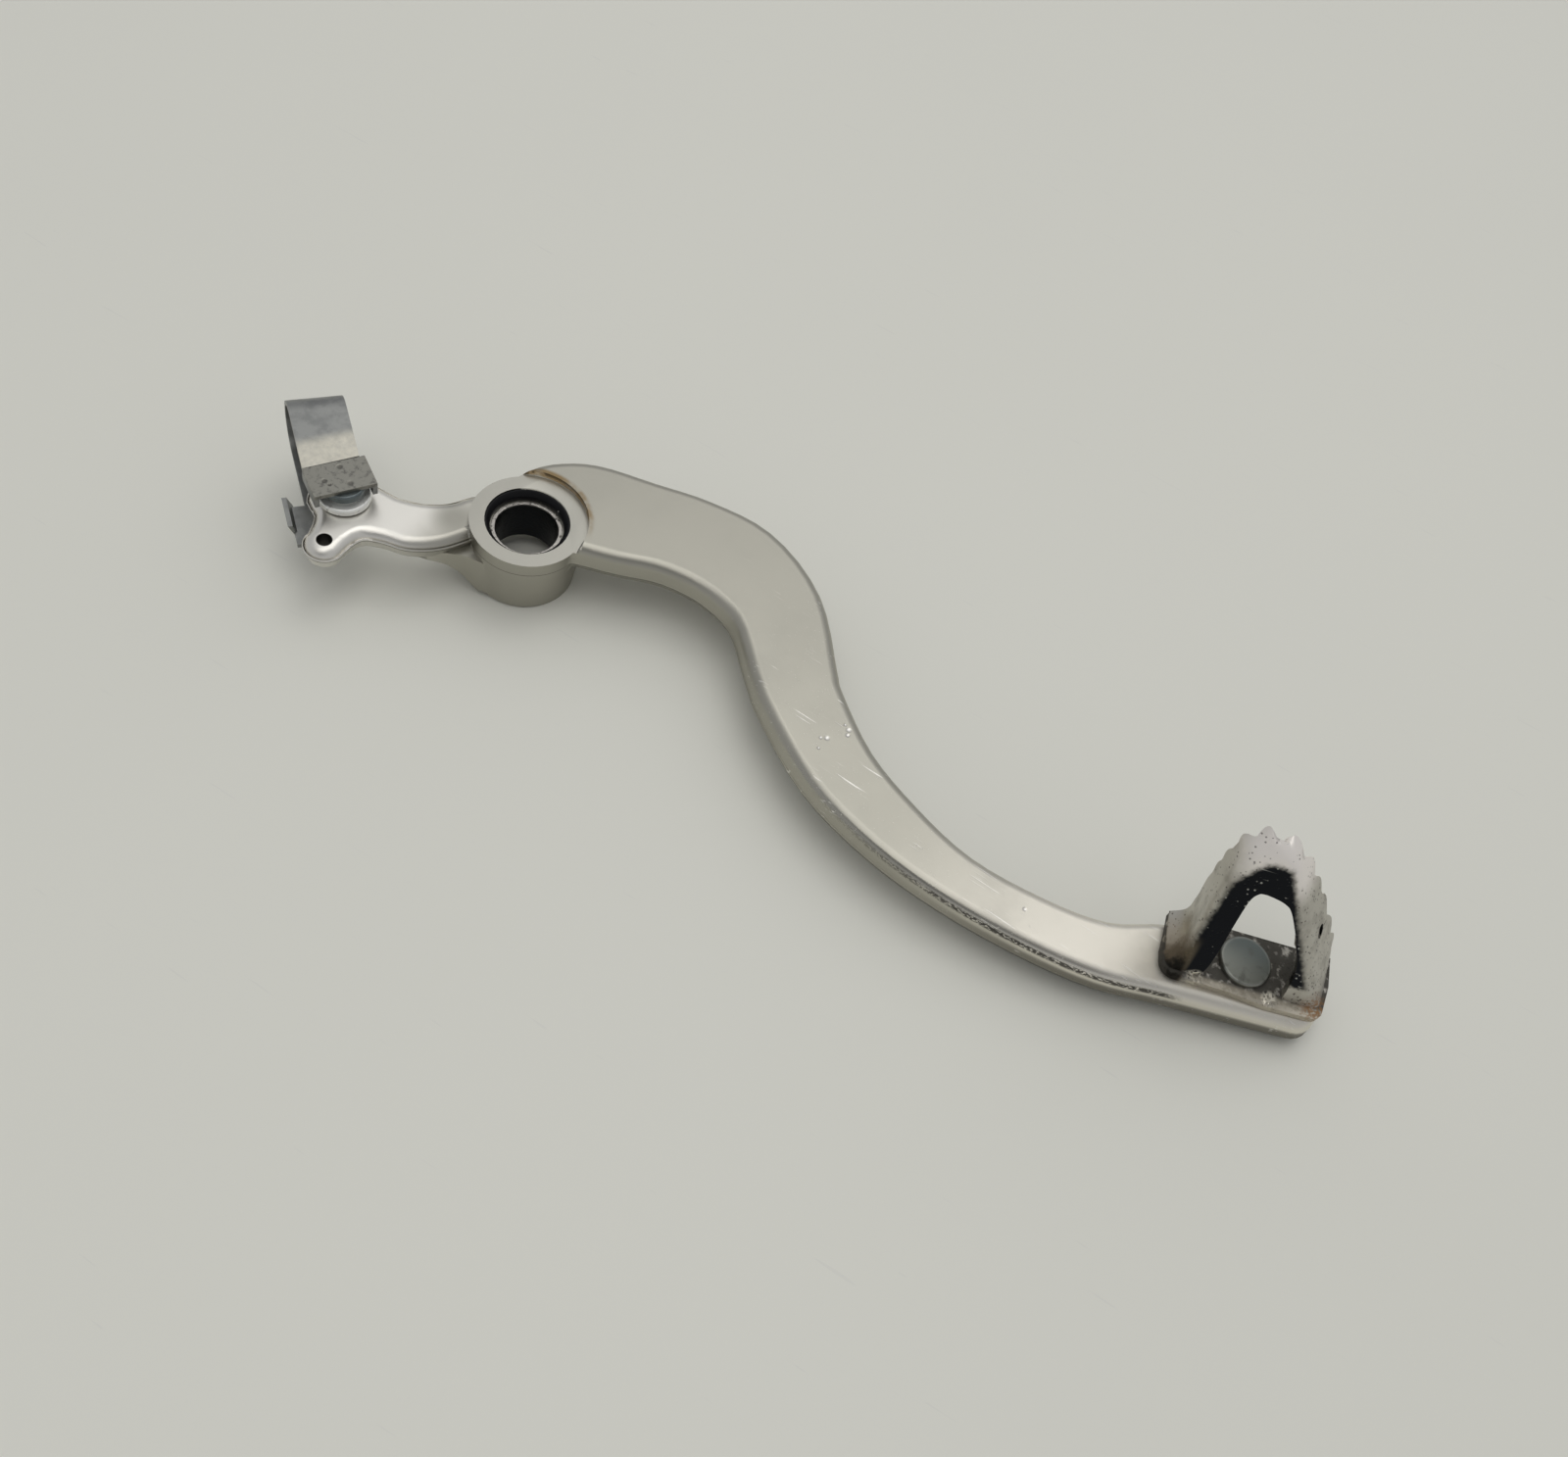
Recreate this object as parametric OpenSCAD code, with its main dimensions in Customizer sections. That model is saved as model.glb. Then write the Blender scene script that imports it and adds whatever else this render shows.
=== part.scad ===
/* [Pivot] */
// Wall of the boss round the seal pocket, at the machined face
boss_wall = 3.9; // [3:0.1:4.6]
// Draft of the boss on each side, from the parting line to its inner end
boss_draft = 1.3; // [0.5:0.1:1.8]
// Width of the machined face that runs past the boss into the arm
spot_margin = 0.7; // [0.4:0.1:1.6]
// Length of the boss below the machined face
boss_len = 18.6; // [15:0.2:22]
// Bore of the pivot bush
bush_bore = 16.2; // [14:0.1:17]
// Wall of the pivot bush
bush_wall = 1.1; // [0.8:0.1:1.6]
// Depth of each seal pocket
seal_depth = 3; // [1.5:0.1:3.5]
// Step from the bush out to the wall of the seal pocket
seal_step = 1.7; // [1.4:0.1:2.2]
// Clearance between the dust seal and the end of the bush, at the side
seal_gap = 0.2; // [0.1:0.1:0.5]

/* [Forging] */
// Height of the arm's top face above the machined face
arm_rise = 2; // [1:0.1:3]
// Thickness of the arm
arm_t = 9.4; // [8.6:0.1:11]
// Drop of the rear lever's top below the machined face
lever_drop = 1.5; // [0.8:0.1:2]
// Thickness of the rear lever
lever_t = 6.9; // [6:0.1:8]
// Depth of the die parting line below the machined face
parting_z = 3.7; // [3:0.1:4.5]
// Width of the trimmed flash on the parting line
flash_w = 0.35; // [0.1:0.05:0.6]
// Radius on the top edges
edge_top_r = 3; // [1:0.1:3.2]
// Radius on the bottom edges
edge_bottom_r = 2.4; // [1:0.1:2.6]
// Radius of the fillet under the root of the rear lever
root_r = 15; // [10:0.5:18]

/* [Rear lever] */
// Distance from the pivot to the clevis pin
pin_reach = 45.6; // [44:0.2:48]
// Direction of the clevis pin from the pivot
pin_angle = 210.4; // [208:0.2:213]
// Diameter of the eye round the clevis pin
eye_d = 17.6; // [16:0.2:18.4]
// Diameter of the clevis pin's shank
pin_d = 8; // [6:0.1:9]
// Place of the spring hole, across and back from the pivot
spring_hole_at = [-34.1, -36.7]; // [-40:0.1:-30]
// Diameter of the hole for the return spring's hook
spring_hole_d = 3.8; // [3:0.1:4.6]
// Diameter of the lobe round the spring hole
spring_lobe_d = 10; // [9:0.2:11]

/* [Toe tip] */
// Place of the rivet that holds the toe tip
rivet_at = [206.7, 0.3]; // [-3:0.1:210]
// Direction of the toe tip's base across the arm
toe_angle = 19.9; // [15:0.1:25]
// Thickness of the pressed sheet
sheet_t = 2; // [1.6:0.1:2.2]
// Distance of the toothed rim above the rivet's centre line
rim_v = 8; // [7:0.1:9]
// Height of the large teeth at the end of the rim
tooth_h = 3; // [1.5:0.1:3.5]
// Diameter of the rivet's shank
rivet_d = 8; // [6:0.1:9]
// Diameter of the rivet's head
rivet_head_d = 12.8; // [11:0.1:13]
// Height of the rivet's head
rivet_head_h = 1.5; // [1:0.1:2]

/* [Clevis pin and clip] */
// Direction of the spring clip from the clevis pin
clip_angle = 140.8; // [130:0.2:150]
// Diameter of the pin's wide collar
collar_d = 13.3; // [12:0.1:14]
// Height of the pin's wide collar
collar_h = 1.8; // [1.4:0.1:2.2]
// Diameter of the pin's head
pin_head_d = 10.4; // [9:0.1:11]
// Height of the pin's head
pin_head_h = 2.0; // [1.5:0.1:2.4]
// Thickness of the clip's spring sheet
clip_t = 1.2; // [0.8:0.1:1.4]
// Width of the clip's strap
strap_w = 14.2; // [12:0.1:15]
// Distance of the strap's middle to the side of the pin
strap_side = 2; // [0:0.1:2.4]
// Reach of the strap's loop from the pin
strap_reach = 31.4; // [28:0.2:36]
// Width of the clasp plate over the pin's head
clasp_w = 15.8; // [15:0.1:17]
// Length of the clasp plate
clasp_l = 9.6; // [9:0.1:11]
// Turn of the clasp plate against the strap
clasp_turn = 8; // [0:0.5:10]
// Height of the clasp's side flanges
flange_h = 3.9; // [2:0.1:4.4]

/* [Hidden] */
$fn = 96;

// Running clearance between a turning pin and its hole
run_gap = 0.05;
// Clearance of a loose neighbour that moves
air_gap = 0.4;
// Depth by which a cut passes the face that it starts from
cut_over = 1;

bush_od = bush_bore + 2 * bush_wall;
seal_d = bush_od + 2 * seal_step;
boss_top_d = seal_d + 2 * boss_wall;
boss_end_d = boss_top_d - 2 * boss_draft;
spot_d = boss_top_d + 2 * spot_margin;
// Height of the machined face above the middle of the bore
face_z = boss_len / 2;

arm_top = arm_rise;
arm_bottom = arm_rise - arm_t;
lever_top = -lever_drop;
lever_bottom = lever_top - lever_t;
boss_end_z = -boss_len;
pin_at = pin_reach * [cos(pin_angle), sin(pin_angle)];
eye_r = eye_d / 2;
lobe_r = spring_lobe_d / 2;

// Stations along the front arm: middle x and y, direction, half width
ARM = [
    [-2.5, 2.7, 52, 10.8],
    [1.6, 6.8, 33, 15],
    [8.5, 13, 22, 15.4],
    [21.5, 18, 14, 15],
    [34.5, 23, 8, 14.4],
    [49.5, 24.5, -5, 14.5],
    [65, 18.5, -32, 13],
    [78.5, 4.5, -48, 11.6],
    [85, -1.5, -38, 11],
    [102, -12.5, -27, 10],
    [121, -18.5, -13, 8.8],
    [140, -21, -1, 7.4],
    [160, -19.5, 8, 7.4],
    [177, -15.7, 16, 7.9],
    [191, -8.2, 19, 9.6],
    [207, -1.7, 19.9, 9.9],
    [221, 3.4, 19.9, 9.6],
];
// Radius of the arm's rounded toe end
arm_end_r = 6;

// Points of the rear lever's outline: along its upper edge to the eye, from the eye to the
// spring lobe, and back from the lobe along its lower edge
LEVER_UPPER = [[-12, 4], [-16.6, -1], [-19.6, -6.6], [-24.4, -11], [-30, -13.6]];
LEVER_BACK = [[-43.6, -30.2], [-41.6, -31.2], [-40.2, -33.4]];
LEVER_LOWER = [[-29.4, -33.2], [-28.4, -29.4], [-24.6, -27], [-19, -25.1], [-14.6, -21.8], [-11.2, -17.4],
               [-8.4, -11.5]];

// Outline of the thickened root under the rear lever, from the boss along the lower edge
LEVER_ROOT = [[1.5, -13], [-2.5, -14.4], [-7.4, -15.4], [-11.4, -17.6], [-14.8, -20.6], [-17.4, -21.8],
              [-24.4, -14.6], [-19.4, -8.4], [-14.6, -2], [-6, 3]];
// Height by which that root reaches up into the lever
root_cover = 2.4;

// Catmull-Rom point between rows i and i + 1 of a list of stations
function blend(K, i, t) =
    let (a = K[max(i - 1, 0)], b = K[i], c = K[i + 1], d = K[min(i + 2, len(K) - 1)])
    0.5 * (2 * b + (c - a) * t + (2 * a - 5 * b + 4 * c - d) * t * t
        + (3 * b - a - 3 * c + d) * t * t * t);

// All stations, with n steps between neighbours
function stations(K, n) =
    [for (i = [0:len(K) - 2]) for (j = [0:n - 1]) blend(K, i, j / n), K[len(K) - 1]];

function arc_points(c, r, a0, a1, n) =
    [for (i = [0:n]) c + r * [cos(a0 + (a1 - a0) * i / n), sin(a0 + (a1 - a0) * i / n)]];

// Half height of the trimmed flash, of the foot under it, and the draft below the parting line
flash_h = 0.22;
flash_foot = 0.5;
lower_draft = 0.5;

// Half of a drop-forged section, from its top edge to its bottom edge
function forged_half(hw, top, bottom, part) = concat(
    arc_points([hw - edge_top_r, top - edge_top_r], edge_top_r, 90, 6, 5),
    [[hw + flash_w / 3, part + flash_foot], [hw + flash_w, part + flash_h],
     [hw + flash_w, part - flash_h], [hw, part - flash_foot]],
    arc_points([hw - lower_draft - edge_bottom_r, bottom + edge_bottom_r], edge_bottom_r, -8, -90, 4)
);

// One ring of the loft: the section stands square to the station's direction
function forged_ring(s, top, bottom, part) =
    let (
        half = forged_half(s[3], top, bottom, part),
        side = [-sin(s[2]), cos(s[2])],
        m = len(half)
    )
    concat(
        [for (p = half) [s[0] - side[0] * p[0], s[1] - side[1] * p[0], p[1]]],
        [for (i = [m - 1:-1:0]) [s[0] + side[0] * half[i][0], s[1] + side[1] * half[i][0], half[i][1]]]
    );

// Solid through rings of equal count, each an outward and a returning chain
module loft(rings) {
    n = len(rings);
    k = len(rings[0]);
    m = k / 2;
    walls = [for (i = [0:n - 2]) for (j = [0:k - 1])
        [i * k + j, (i + 1) * k + j, (i + 1) * k + (j + 1) % k, i * k + (j + 1) % k]];
    first_cap = [for (j = [0:m - 2]) [j, j + 1, k - 2 - j, k - 1 - j]];
    last_cap = [for (j = [0:m - 2]) [j, k - 1 - j, k - 2 - j, j + 1] + (n - 1) * k * [1, 1, 1, 1]];
    polyhedron(points = [for (r = rings) each r], faces = concat(walls, first_cap, last_cap), convexity = 6);
}

// Outward direction at point i of a closed outline that runs counterclockwise
function outward(P, i) =
    let (n = len(P), d = P[(i + 1) % n] - P[(i + n - 1) % n])
    [d[1], -d[0]] / norm(d);

// Flat forging with the same edges all round: the section follows the outline, which has an
// even count of points and is closed flat by strips from point i to the point as far before its start
module forged_plate(outline, top, bottom) {
    half = forged_half(0, top, bottom, -parting_z);
    n = len(outline);
    m = len(half);
    ring = [for (h = half) for (i = [0:n - 1]) let (p = outline[i] + h[0] * outward(outline, i)) [p[0], p[1], h[1]]];
    walls = [for (k = [0:m - 2]) for (i = [0:n - 1])
        [k * n + i, k * n + (i + 1) % n, (k + 1) * n + (i + 1) % n, (k + 1) * n + i]];
    top_face = [for (i = [0:n / 2 - 2]) [i, n - 1 - i, n - 2 - i, i + 1]];
    bottom_face = [for (f = top_face) [f[3], f[2], f[1], f[0]] + (m - 1) * n * [1, 1, 1, 1]];
    polyhedron(points = ring, faces = concat(walls, top_face, bottom_face), convexity = 6);
}

// Stations past the last one that round the end of the arm in plan and in section
function rounded_end(s, r) =
    [for (a = [15:15:75])
        [s[0] + r * sin(a) * cos(s[2]), s[1] + r * sin(a) * sin(s[2]), s[2], s[3] - r * (1 - cos(a)),
         0.5 * edge_top_r * (1 - cos(a))]];

module arm_forging() {
    plain = [for (s = stations(ARM, 4)) [s[0], s[1], s[2], s[3], 0]];
    rings = concat(plain, rounded_end(plain[len(plain) - 1], arm_end_r));
    loft([for (s = rings) forged_ring(s, arm_top - s[4], arm_bottom + s[4], -parting_z)]);
}

module lever_forging() {
    // Round inner end, hidden in the boss
    root = [-7.5, -3.5];
    root_r = 6;
    forged_plate(concat(
        arc_points(root, root_r, 0, 80, 3),
        stations(LEVER_UPPER, 3),
        arc_points(pin_at, eye_r, 84, 222, 14),
        stations(LEVER_BACK, 2),
        arc_points(spring_hole_at, lobe_r, 176, 352, 14),
        stations(LEVER_LOWER, 5),
        arc_points(root, root_r, 290, 345, 4)
    ), lever_top, lever_bottom);
}

// Thickened root under the rear lever, with a hollow fillet from the lever down the boss
module lever_root() {
    difference() {
        translate([0, 0, boss_end_z + cut_over])
            linear_extrude(boss_len - cut_over + lever_bottom + root_cover) polygon(LEVER_ROOT);
        rotate_extrude() translate([boss_end_d / 2 + 0.5 + root_r, lever_bottom - root_r]) circle(r = root_r);
    }
}

module pedal_arm() {
    color([0.74, 0.73, 0.71])
    translate([0, 0, face_z])
    difference() {
        union() {
            arm_forging();
            lever_forging();
            lever_root();
            // Boss round the pivot, drafted to both sides of the parting line
            translate([0, 0, boss_end_z])
                cylinder(h = boss_len - parting_z, d1 = boss_end_d, d2 = boss_top_d);
            translate([0, 0, -parting_z]) cylinder(h = parting_z + cut_over, d = boss_top_d);
        }
        // Machined face sunk into the arm's top, the bush seat and the two seal pockets
        rotate_extrude() polygon([
            [0, boss_end_z - cut_over],
            [seal_d / 2, boss_end_z - cut_over],
            [seal_d / 2, boss_end_z + seal_depth],
            [bush_od / 2, boss_end_z + seal_depth],
            [bush_od / 2, -seal_depth],
            [seal_d / 2, -seal_depth],
            [seal_d / 2, 0],
            [spot_d / 2, 0],
            [spot_d / 2, arm_rise + 2 * cut_over],
            [0, arm_rise + 2 * cut_over],
        ]);
        // Holes for the clevis pin, the spring's hook and the toe rivet
        translate([pin_at[0], pin_at[1], lever_bottom - cut_over])
            cylinder(h = lever_t + 2 * cut_over, d = pin_d + 2 * run_gap);
        translate([spring_hole_at[0], spring_hole_at[1], lever_bottom - cut_over])
            cylinder(h = lever_t + 2 * cut_over, d = spring_hole_d);
        translate([rivet_at[0], rivet_at[1], arm_bottom - cut_over])
            cylinder(h = arm_t + 2 * cut_over, d = rivet_d);
    }
}

module pivot_bush() {
    color([0.45, 0.42, 0.38])
    translate([0, 0, face_z + boss_end_z + seal_depth])
    difference() {
        cylinder(h = boss_len - 2 * seal_depth, d = bush_od);
        translate([0, 0, -cut_over]) cylinder(h = boss_len, d = bush_bore);
    }
}

// Rubber ring in its pocket: the lip slopes inward from the rim to the end of the bush
module dust_seal() {
    outer_r = seal_d / 2;
    inner_r = bush_od / 2 + seal_gap;
    top_z = 0.88 * seal_depth;
    land = 0.3 * (outer_r - inner_r);
    rotate_extrude()
        polygon([
            [outer_r, 0],
            [outer_r, top_z],
            [outer_r - land, top_z],
            [inner_r, 0.4 * seal_depth],
            [inner_r, 0],
        ]);
}

module outer_seal() {
    color([0.1, 0.1, 0.1]) translate([0, 0, face_z - seal_depth]) dust_seal();
}

module inner_seal() {
    color([0.1, 0.1, 0.1])
    translate([0, 0, face_z + boss_end_z + seal_depth]) mirror([0, 0, 1]) dust_seal();
}

// Toe tip, in its own frame: u along the base, v upward on the machine, z outward
// Stations round the cup, from the foot over the end to the base:
// rim u and z, bend u and z, window edge u and z
CUP = [
    [-19.2, 4.4, -20.2, 3.6, -11.2, 4.0],
    [-16.3, 7.6, -17.3, 7.2, -10.4, 7.6],
    [-16.6, 13.5, -17.2, 13, -10.4, 13],
    [-18.2, 26, -17.8, 24, -10.9, 23],
    [-18.8, 35, -17.5, 33.5, -11, 29],
    [-18.4, 41.2, -16, 39.2, -10.2, 31.4],
    [-14.6, 44.6, -13, 42.2, -8.9, 32],
    [-10.2, 44.4, -9, 42.6, -6.1, 31.7],
    [-4.6, 41.4, -5.2, 40.4, -3.3, 30.9],
    [1, 35.6, -1.8, 35.4, -1.2, 29.3],
    [7, 28, 3.5, 27, 2.4, 24.2],
    [14.8, 16.8, 9, 18, 6.4, 17.6],
    [19.6, 8.8, 13.6, 10.6, 8.6, 12],
    [22, 3.6, 19.4, 3.4, 9.4, 4.4],
];
// Teeth on the rim: place in stations along the cup, height as a share of tooth_h, and the
// stations that the tooth takes up before and after its tip
TEETH = [
    [2.6, 0.22, 0.36, 0.36], [3.2, 0.28, 0.3, 0.3], [3.8, 0.3, 0.3, 0.4],
    [5.05, 0.36, 0.4, 0.36], [6.1, 0.75, 0.55, 0.36], [7.5, 0.92, 0.36, 0.5],
    [8.5, 0.72, 0.32, 0.5], [9.35, 0.5, 0.28, 0.48], [10.1, 0.5, 0.24, 0.42],
    [10.8, 0.58, 0.24, 0.42], [11.5, 0.66, 0.26, 0.5],
];
cup_steps = 9;
// The web leans upward as it goes outward
web_v = -8;
web_lean = 0.3;
bend_r = 2.6;

function tooth_at(s) = tooth_h * max([for (t = TEETH)
    let (d = s < t[0] ? (t[0] - s) / t[2] : (s - t[0]) / t[3]) d < 1 ? t[1] * cos(90 * d) : 0]);

function on_web(p) = [p[0], web_v + web_lean * p[1], p[1]];

// Quadratic curve round a bend, from one leg to the other
function bend_points(a, corner, b, r, n) =
    let (p = corner + r * (a - corner) / norm(a - corner), q = corner + r * (b - corner) / norm(b - corner))
    [for (i = [0:n]) let (t = i / n) (1 - t) * (1 - t) * p + 2 * t * (1 - t) * corner + t * t * q];

// Section of the cup at one station: rim, wall, bend, web and window edge, out and back
function cup_ring(c, s, inward) =
    let (
        bend = on_web([c[2], c[3]]),
        rim0 = [c[0], rim_v, c[1]],
        rim = rim0 + tooth_at(s) * (rim0 - bend) / norm(rim0 - bend),
        window = on_web([c[4], c[5]]),
        in_wall = inward * sheet_t,
        in_web = [0, sheet_t, -sheet_t * web_lean],
        outer = concat([rim], bend_points(rim, bend, window, bend_r, 4), [window]),
        inner = concat([rim + in_wall],
            bend_points(rim + in_wall, bend + in_wall + in_web, window + in_web, bend_r * 0.4, 4),
            [window + in_web])
    )
    concat(outer, [for (i = [len(inner) - 1:-1:0]) inner[i]]);

// Direction across the sheet at a station, square to the bend line and inward
function cup_inward(i, t) =
    let (
        a = blend(CUP, i, max(t - 0.05, 0)),
        b = blend(CUP, i, min(t + 0.05, 1)),
        along = [b[2] - a[2], 0, b[3] - a[3]],
        turned = [along[2], 0, -along[0]]
    )
    turned / norm(turned);

module toe_cup() {
    rings = [for (i = [0:len(CUP) - 2]) for (j = [0:cup_steps])
        if (j < cup_steps || i == len(CUP) - 2)
            cup_ring(blend(CUP, i, j / cup_steps), i + j / cup_steps, cup_inward(i, j / cup_steps))];
    loft(rings);
}

// Base of the toe tip, which lies flat on the arm
module toe_base() {
    linear_extrude(sheet_t)
        polygon(concat(
            [[-18.9, rim_v], [-19.5, 3], [-20.3, -2]],
            arc_points([-16.6, -4.6], 3.7, 180, 262, 4),
            [[-4, -8.6], [6, -9.6]],
            arc_points([16.8, -6.4], 3, 275, 350, 4),
            [[21.4, 0], [22, rim_v]]
        ));
}

module toe_tip() {
    color([0.6, 0.59, 0.58])
    translate([rivet_at[0], rivet_at[1], face_z + arm_top])
    rotate([0, 0, toe_angle])
    difference() {
        union() {
            toe_base();
            translate([0, 0, -arm_top]) toe_cup();
        }
        translate([0, 0, -cut_over]) cylinder(h = sheet_t + 2 * cut_over, d = rivet_d);
    }
}

module toe_rivet() {
    rivet_head_z = arm_top + sheet_t;
    // Closed end below the arm
    tail_h = 1.2;
    tail_r = rivet_d / 2 + 1.4;
    chamfer = 0.35;
    color([0.5, 0.5, 0.49])
    translate([rivet_at[0], rivet_at[1], face_z])
    rotate_extrude()
        polygon([
            [0, arm_bottom - tail_h],
            [tail_r - 2 * chamfer, arm_bottom - tail_h],
            [tail_r, arm_bottom],
            [rivet_d / 2, arm_bottom],
            [rivet_d / 2, rivet_head_z],
            [rivet_head_d / 2, rivet_head_z],
            [rivet_head_d / 2, rivet_head_z + rivet_head_h - chamfer],
            [rivet_head_d / 2 - chamfer, rivet_head_z + rivet_head_h],
            [0, rivet_head_z + rivet_head_h],
        ]);
}

// Heights of the clevis pin's steps and of the clip's sheet
neck_h = 1.2;
groove_depth = 0.8;
pin_end_h = 2.2;
collar_z = lever_top + air_gap;
head_z = collar_z + collar_h + neck_h;
clasp_z = head_z + pin_head_h;
lower_top = lever_bottom - air_gap;
lower_z = lower_top - clip_t;
groove_r = pin_d / 2 - groove_depth;
pin_tip_z = lower_z - pin_end_h;

module clevis_pin() {
    chamfer = 0.4;
    neck_r = pin_d / 2;
    color([0.72, 0.72, 0.72])
    translate([pin_at[0], pin_at[1], face_z])
    rotate_extrude()
        polygon([
            [0, pin_tip_z],
            [neck_r - chamfer, pin_tip_z],
            [neck_r, pin_tip_z + chamfer],
            [neck_r, lower_z - run_gap],
            [groove_r, lower_z - run_gap],
            [groove_r, lower_top + run_gap],
            [neck_r, lower_top + run_gap],
            [neck_r, collar_z],
            [collar_d / 2, collar_z],
            [collar_d / 2, collar_z + collar_h - chamfer],
            [collar_d / 2 - chamfer, collar_z + collar_h],
            [neck_r, collar_z + collar_h],
            [neck_r, head_z],
            [pin_head_d / 2, head_z],
            [pin_head_d / 2, clasp_z - chamfer],
            [pin_head_d / 2 - chamfer, clasp_z],
            [0, clasp_z],
        ]);
}

// Clip, in its own frame: a along the strap from the pin, b to its side
// Middle of the clasp plate, and where the strap comes down to it
clasp_at = [1.2, 0.7];
strap_foot = 4;
// Rise of the strap from the clasp plate to the top of its loop
strap_rise = 1.2;
strap_top = clasp_z + clip_t + strap_rise;
loop_r = (strap_top - lower_z) / 2;
loop_a = strap_reach - loop_r;
// Ear on the lower leg: its ends along the strap, its reach to the side, and its lip
leg_end = -7.4;
ear_back = 4.8;
ear_reach = 13;
lip_back = 6.2;
lip_end = -3.2;
lip_h = 3.5;
lip_flare = 1.5;

// Bent strip: the strap seen from its side
module strap_side_shape() {
    difference() {
        union() {
            translate([loop_a, lower_z + loop_r]) circle(r = loop_r);
            translate([leg_end, lower_z]) square([loop_a - leg_end, clip_t]);
            polygon([
                [strap_foot, clasp_z], [strap_foot, clasp_z + clip_t],
                [loop_a, strap_top], [loop_a, strap_top - clip_t],
            ]);
        }
        translate([loop_a, lower_z + loop_r]) circle(r = loop_r - clip_t);
        polygon([
            [leg_end, lower_top], [loop_a, lower_top],
            [loop_a, strap_top - clip_t], [strap_foot, clasp_z], [leg_end, clasp_z],
        ]);
    }
}

// Clasp plate that lies on the pin's head, with its two side flanges
module clasp() {
    translate([clasp_at[0], clasp_at[1], clasp_z])
    rotate([0, 0, clasp_turn]) {
        translate([-clasp_l / 2, -clasp_w / 2, 0]) cube([clasp_l, clasp_w, clip_t]);
        for (side = [-1, 1])
            translate([-clasp_l / 2, side * (clasp_w - clip_t) / 2 - clip_t / 2, clip_t - flange_h])
                cube([clasp_l, clip_t, flange_h]);
    }
}

// Room over the clasp plate, which ends the strap along the plate's back edge
module clasp_clear() {
    translate([clasp_at[0], clasp_at[1], clasp_z + clip_t])
    rotate([0, 0, clasp_turn])
        translate([-clasp_l / 2, -clasp_w, 0]) cube([clasp_l, 2 * clasp_w, clip_t]);
}

// Ear that sticks out of the lower leg, with a lip that flares outward
module ear() {
    translate([leg_end, 0, lower_z]) cube([ear_back - leg_end, ear_reach, clip_t]);
    translate([lip_back, 0, lower_z])
        rotate([90, 0, -90])
        linear_extrude(lip_back - lip_end)
            polygon([
                [-ear_reach, 0], [-ear_reach - lip_flare, lip_h],
                [-ear_reach - lip_flare + clip_t, lip_h], [-ear_reach + clip_t, 0],
            ]);
}

module spring_clip() {
    slot_r = groove_r + run_gap;
    slot_h = lower_top - lower_z + cut_over + air_gap / 2;
    color([0.66, 0.68, 0.7])
    translate([pin_at[0], pin_at[1], face_z])
    rotate([0, 0, clip_angle])
    difference() {
        union() {
            difference() {
                translate([0, strap_side + strap_w / 2, 0])
                    rotate([90, 0, 0]) linear_extrude(strap_w) strap_side_shape();
                clasp_clear();
            }
            clasp();
            ear();
        }
        // Slot that snaps into the pin's groove
        translate([0, 0, lower_z - cut_over]) cylinder(h = slot_h, r = slot_r);
        translate([leg_end - cut_over, -slot_r, lower_z - cut_over])
            cube([cut_over - leg_end, 2 * slot_r, slot_h]);
    }
}

pedal_arm();
pivot_bush();
outer_seal();
inner_seal();
toe_tip();
toe_rivet();
clevis_pin();
spring_clip();
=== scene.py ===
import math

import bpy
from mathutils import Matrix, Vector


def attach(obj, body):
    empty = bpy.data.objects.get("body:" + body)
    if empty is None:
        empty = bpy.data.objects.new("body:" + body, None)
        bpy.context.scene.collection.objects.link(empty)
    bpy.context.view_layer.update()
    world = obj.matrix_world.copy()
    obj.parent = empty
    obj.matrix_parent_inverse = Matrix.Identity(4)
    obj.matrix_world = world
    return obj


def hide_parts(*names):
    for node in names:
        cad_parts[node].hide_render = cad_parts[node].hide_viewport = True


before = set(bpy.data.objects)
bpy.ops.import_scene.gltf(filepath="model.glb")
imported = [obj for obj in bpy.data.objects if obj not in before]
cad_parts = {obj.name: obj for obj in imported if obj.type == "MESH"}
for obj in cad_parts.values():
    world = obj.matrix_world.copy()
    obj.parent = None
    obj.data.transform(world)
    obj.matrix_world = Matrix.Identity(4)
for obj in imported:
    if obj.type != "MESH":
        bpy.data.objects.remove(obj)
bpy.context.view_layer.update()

# %% [markdown]
# # A used rear brake pedal
#
# A forged aluminium pedal with a riveted toe tip of pressed steel, and a zinc plated pin and
# spring clip at the rear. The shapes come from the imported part. This lesson gives them the
# finishes of a part that was blasted clean after years on a motorcycle, and sets the table
# and the light.

# %% [markdown]
# ## Small helpers
#
# Blender's operators work on what is selected, so `only` selects one object. `join_skin` turns
# the loose triangles of a piece into one skin and clears its flat faces of needless edges.
# `break_edges` gives sharp edges a small bevel, as tumbling or blasting does on the real piece,
# because a bevel that catches the light is what makes an edge look real. Weighted normals then
# let the large faces rule the shading, so flat faces stay flat to the eye.

# %% Helpers that shape an object
BEVEL_STEPS = 2
SHARP_EDGE = math.radians(35)
DOUBLES_GAP = 0.000002
LARGE_FACE_WEIGHT = 70


def only(obj):
    bpy.ops.object.select_all(action="DESELECT")
    obj.select_set(True)
    bpy.context.view_layer.objects.active = obj


def join_skin(obj, flat):
    only(obj)
    bpy.ops.object.mode_set(mode="EDIT")
    bpy.ops.mesh.select_all(action="SELECT")
    bpy.ops.mesh.remove_doubles(threshold=DOUBLES_GAP)
    bpy.ops.mesh.dissolve_limited(angle_limit=math.radians(flat))
    bpy.ops.object.mode_set(mode="OBJECT")


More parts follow.
